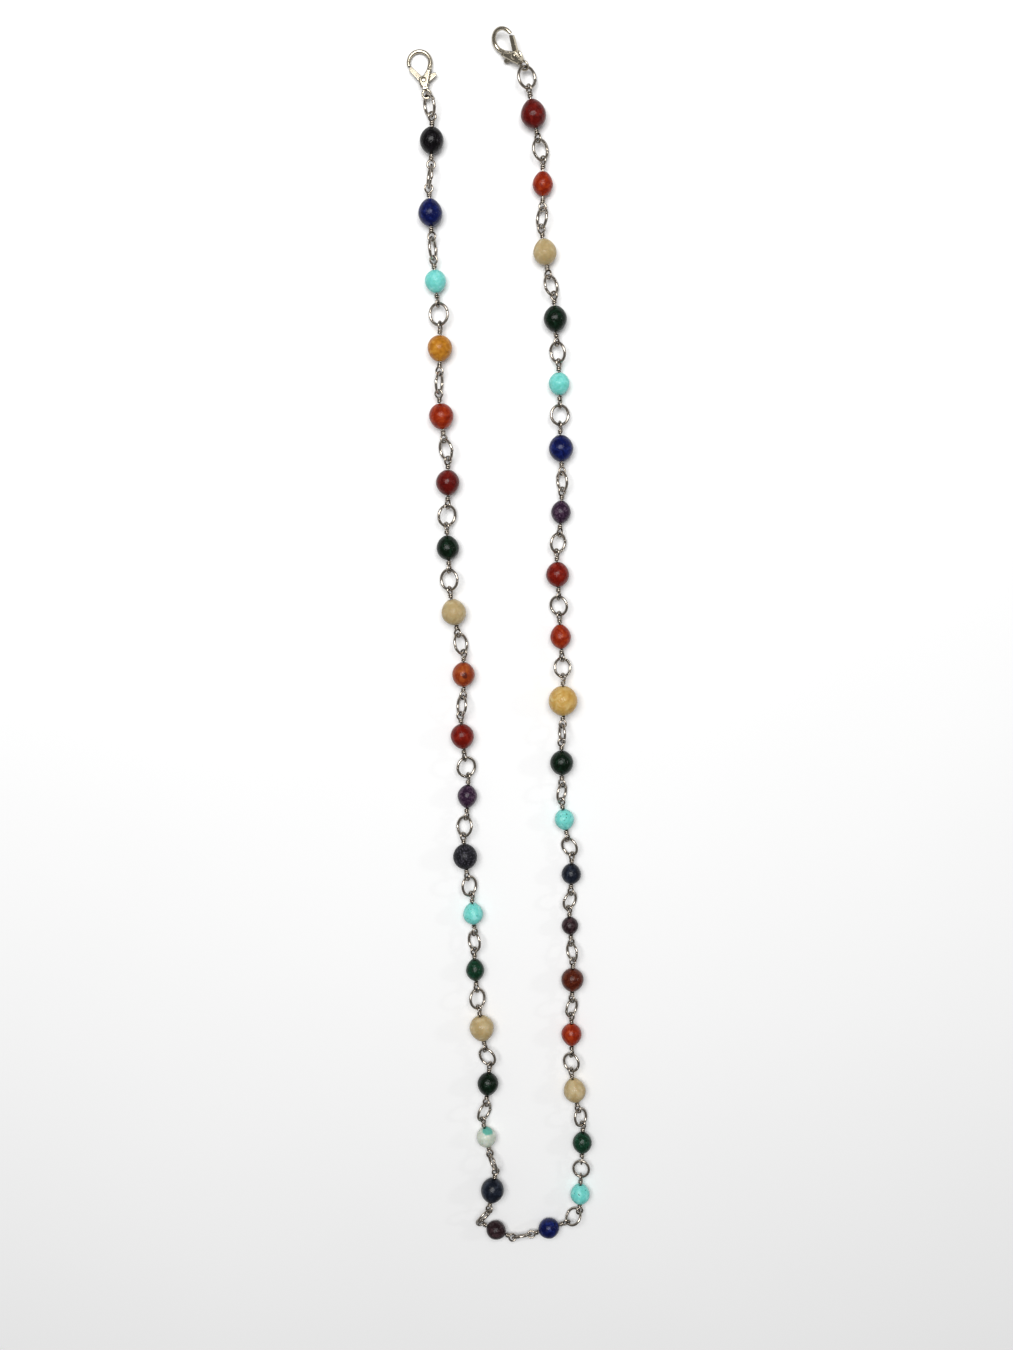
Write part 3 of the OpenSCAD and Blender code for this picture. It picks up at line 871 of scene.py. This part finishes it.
def coil_spring(name):
    """Two and a half turns round the rivet."""
    thick = 0.15 * MM
    low = -LEVER_THICK / 2 + 0.08 * MM
    angles = np.linspace(0, 5 * math.pi, 70)
    radius = SPRING_RADIUS - thick
    points = [
        (PIVOT[0] + radius * math.cos(a), PIVOT[1] + radius * math.sin(a), low + 0.2 * MM * a / angles[-1])
        for a in angles
    ]
    return swept_wire(name, points, thick, 8)


# %% Put both clasps in place
def place_flat_piece(piece, side, body, node, material):
    eye, directions = clasps[side]
    turn = Matrix(np.array(directions).T.tolist()).to_4x4()
    piece.data.transform(Matrix.Translation(Vector(eye)) @ turn)
    return finish_piece(piece, body, node, material)


for side in SIDES:
    for making, part, body, slot, material in (
        (cast_body, "hook", "clasp", "silver_clasp", SILVER_CLASP),
        (stamp_lever, "lever", "lever", "silver_clasp", SILVER_CLASP),
        (turn_rivet, "rivet", "clasp", "silver_clasp", SILVER_CLASP),
        (coil_spring, "spring", "clasp", "spring_steel", SPRING_STEEL),
    ):
        made = making(f"{side}_{part}")
        place_flat_piece(made, side, f"{side}_{body}", f"{side}_clasp_{part}", material)
        print(made.name, len(made.data.polygons), "faces")

# %% [markdown]
# ## The surface, the light and the camera
#
# The chain lies on a plain pale surface. A broad lamp overhead gives each bead its soft
# patch of light, and a small one at the side gives the sharp glint. A dim room round them
# gives the metal something dark to reflect. The camera looks down steeply from the end
# where the clasps are.

# %% The surface
floor_material, floor_nodes, floor_links, floor_shader = start_material("pale_surface")
floor_place = floor_nodes.new("ShaderNodeTexCoord").outputs["Object"]
floor_cloud = noise(floor_nodes, floor_links, floor_place, 6, detail=3)
floor_tone = ramp(floor_nodes, floor_links, floor_cloud, [(0.3, grey(0.93)), (0.7, grey(0.95))])
floor_links.new(floor_tone, floor_shader.inputs["Base Color"])
floor_shader.inputs["Roughness"].default_value = 0.8
FLOOR_HALF = 3.0
floor = piece_from(
    "surface",
    [(-FLOOR_HALF, -FLOOR_HALF, 0), (FLOOR_HALF, -FLOOR_HALF, 0),
     (FLOOR_HALF, FLOOR_HALF, 0), (-FLOOR_HALF, FLOOR_HALF, 0)],
    [(0, 1, 2, 3)],
)
floor.location.z = -0.01 * MM
floor.data.materials.append(floor_material)


# %% The lights
def area_light(name, place, aim, size, power, colour=(1, 1, 1)):
    lamp = bpy.data.lights.new(name, "AREA")
    lamp.shape = "RECTANGLE"
    lamp.size, lamp.size_y = size
    lamp.energy = power
    lamp.color = colour
    light = bpy.data.objects.new(name, lamp)
    light.location = place
    light.rotation_euler = (Vector(aim) - Vector(place)).to_track_quat("-Z", "Y").to_euler()
    scene.collection.objects.link(light)


area_light("overhead", (-0.06, 0.30, 0.80), (0, 0.02, 0), (0.6, 0.4), 7.8)
area_light("side_glint", (0.75, 0.10, 0.42), (0, 0, 0), (0.06, 0.06), 0.5)
world = bpy.data.worlds.new("room")
world.use_nodes = True
world.node_tree.nodes["Background"].inputs["Color"].default_value = (1.0, 1.0, 1.0, 1)
world.node_tree.nodes["Background"].inputs["Strength"].default_value = 0.16
scene.world = world
scene.view_settings.view_transform = "Standard"

# %% The camera
LOOK_ANGLE = math.radians(11.7)     # off the vertical, from the clasps' end
ROLL = math.radians(-3)             # the chain lies slightly askew in the view
DISTANCE = 0.4
AIM = Vector((-1.6, 3.2, 3.0)) * MM
turn = Matrix.Rotation(ROLL, 3, "Z")
forward = turn @ Vector((0, -math.sin(LOOK_ANGLE), -math.cos(LOOK_ANGLE)))
upward = turn @ Vector((0, math.cos(LOOK_ANGLE), -math.sin(LOOK_ANGLE)))
camera_data = bpy.data.cameras.new("camera")
camera_data.lens = 37.7
camera_data.clip_start = 0.01
camera = bpy.data.objects.new("camera", camera_data)
right = forward.cross(upward)
camera.matrix_world = Matrix.Translation(AIM - forward * DISTANCE) @ Matrix(
    (right, upward, -forward)).transposed().to_4x4()
scene.collection.objects.link(camera)
scene.camera = camera
